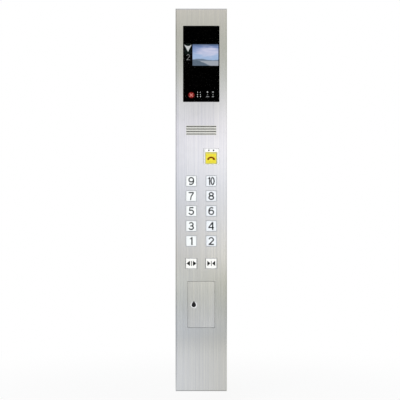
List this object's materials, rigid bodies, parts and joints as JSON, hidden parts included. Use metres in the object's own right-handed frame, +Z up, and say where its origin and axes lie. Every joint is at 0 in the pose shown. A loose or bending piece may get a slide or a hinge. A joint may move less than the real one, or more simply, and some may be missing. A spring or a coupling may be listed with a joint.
{
  "type": "elevator car operating panel",
  "caption": "Tall flush elevator car panel in brushed steel with a display window, speaker slots, alarm and floor buttons, and a lockable service door over switches.",
  "frame": {"origin": "centre of the four wall bolts, in the plane of the wall", "axes": "+Z up, +Y into the wall, +X to the right seen from the front"},
  "size_m": [0.18, 0.081, 1.34],
  "materials": {
    "brushed_stainless": "vertical grain, satin",
    "galvanised": "galvanised sheet, dull spangle",
    "zinc_steel": "bright zinc plating",
    "bright_steel": "bright",
    "satin_plate": "satin anodised",
    "natural_nylon": "matt moulded",
    "tinted_pane": "dark tint, polished",
    "black_moulding": "fine texture",
    "screen_picture": "lit screen",
    "screen_frame": "pressed sheet",
    "circuit_board": "solder mask",
    "red_lens": "lit red lens",
    "black_rubber": "matt",
    "black_metal": "black coat",
    "cone_pulp": "pressed pulp",
    "ferrite": "dull ferrite",
    "white_gloss": "smooth moulding",
    "lamp_dark": "unlit lens",
    "grey_moulding": "fine texture",
    "led_lens": "clear dome",
    "terminal_plastic": "moulded",
    "lead_sleeve": "braided sleeve",
    "brass_stud": "bright",
    "lock_chrome": "polished",
    "lock_core": "dark plug",
    "yellow_cap": "smooth moulding",
    "white_cap": "smooth moulding",
    "rocker_red": "smooth moulding",
    "mark_ink": "moulded-in dark figures",
    "handset_ink": "printed brown symbol",
    "window_sign": "lit signs behind the window",
    "rocker_ink": "pale marks on the rockers"
  },
  "bodies": {
    "panel": {"faceplate": "brushed_stainless", "back_box": "galvanised", "box_brackets": "zinc_steel", "faceplate_hooks": "zinc_steel", "bottom_screws": "bright_steel", "weld_studs": "zinc_steel", "stud_spacers": "natural_nylon", "stud_nuts": "zinc_steel", "display_window": "tinted_pane", "display_bezel": "black_moulding", "lcd_screen": "screen_picture", "lcd_module": "screen_frame", "display_board": "circuit_board", "sign_lamp": "red_lens", "speaker_gasket": "black_rubber", "speaker_frame": "black_metal", "speaker_cone": "cone_pulp", "speaker_magnet": "ferrite", "microphone": "black_rubber", "alarm_guard": "white_gloss", "alarm_lamps": "lamp_dark", "alarm_board": "circuit_board", "floor_button_housings": "grey_moulding", "door_button_housings": "grey_moulding", "button_board": "circuit_board", "microswitches": "black_moulding", "button_leds": "led_lens", "service_tray": "galvanised", "hinge_brackets": "zinc_steel", "switch_plate": "satin_plate", "plate_screws": "bright_steel", "rocker_housings": "black_moulding", "terminal_block": "terminal_plastic", "terminal_screws": "bright_steel", "wiring_loom": "lead_sleeve", "cable_grommet": "black_rubber", "earth_stud": "brass_stud"},
    "service_door": {"service_door": "brushed_stainless", "hinge_pins": "bright_steel", "lock_barrel": "lock_chrome", "lock_nut": "zinc_steel"},
    "door_lock": {"lock_plug": "lock_core", "lock_cam": "zinc_steel"},
    "alarm_button": {"alarm_cap": "yellow_cap"},
    "door_open_button": {"door_open_cap": "white_cap"},
    "door_close_button": {"door_close_cap": "white_cap"},
    "light_switch": {"light_rocker": "rocker_red"},
    "fan_switch": {"fan_rocker": "rocker_red"},
    "attendant_switch": {"attendant_rocker": "rocker_red"},
    "stop_switch": {"stop_rocker": "rocker_red"},
    "floor_button_1": {"floor_cap_1": "white_cap"},
    "floor_button_2": {"floor_cap_2": "white_cap"},
    "floor_button_3": {"floor_cap_3": "white_cap"},
    "floor_button_4": {"floor_cap_4": "white_cap"},
    "floor_button_5": {"floor_cap_5": "white_cap"},
    "floor_button_6": {"floor_cap_6": "white_cap"},
    "floor_button_7": {"floor_cap_7": "white_cap"},
    "floor_button_8": {"floor_cap_8": "white_cap"},
    "floor_button_9": {"floor_cap_9": "white_cap"},
    "floor_button_10": {"floor_cap_10": "white_cap"}
  },
  "joints": [
    {"name": "floor_button_1_press", "type": "slide", "parent": "panel", "child": "floor_button_1", "axis": [0, 1, 0], "range_m": [0, 0.0015], "stiffness_N_per_m": 1500, "springref_m": -0.0008},
    {"name": "floor_button_2_press", "type": "slide", "parent": "panel", "child": "floor_button_2", "axis": [0, 1, 0], "range_m": [0, 0.0015], "stiffness_N_per_m": 1500, "springref_m": -0.0008},
    {"name": "floor_button_3_press", "type": "slide", "parent": "panel", "child": "floor_button_3", "axis": [0, 1, 0], "range_m": [0, 0.0015], "stiffness_N_per_m": 1500, "springref_m": -0.0008},
    {"name": "floor_button_4_press", "type": "slide", "parent": "panel", "child": "floor_button_4", "axis": [0, 1, 0], "range_m": [0, 0.0015], "stiffness_N_per_m": 1500, "springref_m": -0.0008},
    {"name": "floor_button_5_press", "type": "slide", "parent": "panel", "child": "floor_button_5", "axis": [0, 1, 0], "range_m": [0, 0.0015], "stiffness_N_per_m": 1500, "springref_m": -0.0008},
    {"name": "floor_button_6_press", "type": "slide", "parent": "panel", "child": "floor_button_6", "axis": [0, 1, 0], "range_m": [0, 0.0015], "stiffness_N_per_m": 1500, "springref_m": -0.0008},
    {"name": "floor_button_7_press", "type": "slide", "parent": "panel", "child": "floor_button_7", "axis": [0, 1, 0], "range_m": [0, 0.0015], "stiffness_N_per_m": 1500, "springref_m": -0.0008},
    {"name": "floor_button_8_press", "type": "slide", "parent": "panel", "child": "floor_button_8", "axis": [0, 1, 0], "range_m": [0, 0.0015], "stiffness_N_per_m": 1500, "springref_m": -0.0008},
    {"name": "floor_button_9_press", "type": "slide", "parent": "panel", "child": "floor_button_9", "axis": [0, 1, 0], "range_m": [0, 0.0015], "stiffness_N_per_m": 1500, "springref_m": -0.0008},
    {"name": "floor_button_10_press", "type": "slide", "parent": "panel", "child": "floor_button_10", "axis": [0, 1, 0], "range_m": [0, 0.0015], "stiffness_N_per_m": 1500, "springref_m": -0.0008},
    {"name": "door_open_button_press", "type": "slide", "parent": "panel", "child": "door_open_button", "axis": [0, 1, 0], "range_m": [0, 0.0015], "stiffness_N_per_m": 1500, "springref_m": -0.0008},
    {"name": "door_close_button_press", "type": "slide", "parent": "panel", "child": "door_close_button", "axis": [0, 1, 0], "range_m": [0, 0.0015], "stiffness_N_per_m": 1500, "springref_m": -0.0008},
    {"name": "alarm_button_press", "type": "slide", "parent": "panel", "child": "alarm_button", "axis": [0, 1, 0], "range_m": [0, 0.0015], "stiffness_N_per_m": 1500, "springref_m": -0.0008},
    {"name": "service_door_hinge", "type": "hinge", "parent": "panel", "child": "service_door", "pos_m": [0.0308, -0.0096, -0.3663], "axis": [0, 0, 1], "range_deg": [0, 105]},
    {"name": "door_lock_turn", "type": "hinge", "parent": "service_door", "child": "door_lock", "pos_m": [-0.026, -0.014, -0.3678], "axis": [0, -1, 0], "range_deg": [0, 90]},
    {"name": "light_switch_rock", "type": "hinge", "parent": "panel", "child": "light_switch", "pos_m": [-0.022, 0.024, -0.3303], "axis": [1, 0, 0], "range_deg": [0, 20]},
    {"name": "fan_switch_rock", "type": "hinge", "parent": "panel", "child": "fan_switch", "pos_m": [0.022, 0.024, -0.3303], "axis": [1, 0, 0], "range_deg": [0, 20]},
    {"name": "attendant_switch_rock", "type": "hinge", "parent": "panel", "child": "attendant_switch", "pos_m": [-0.022, 0.024, -0.4023], "axis": [1, 0, 0], "range_deg": [0, 20]},
    {"name": "stop_switch_rock", "type": "hinge", "parent": "panel", "child": "stop_switch", "pos_m": [0.022, 0.024, -0.4023], "axis": [1, 0, 0], "range_deg": [0, 20]}
  ]
}
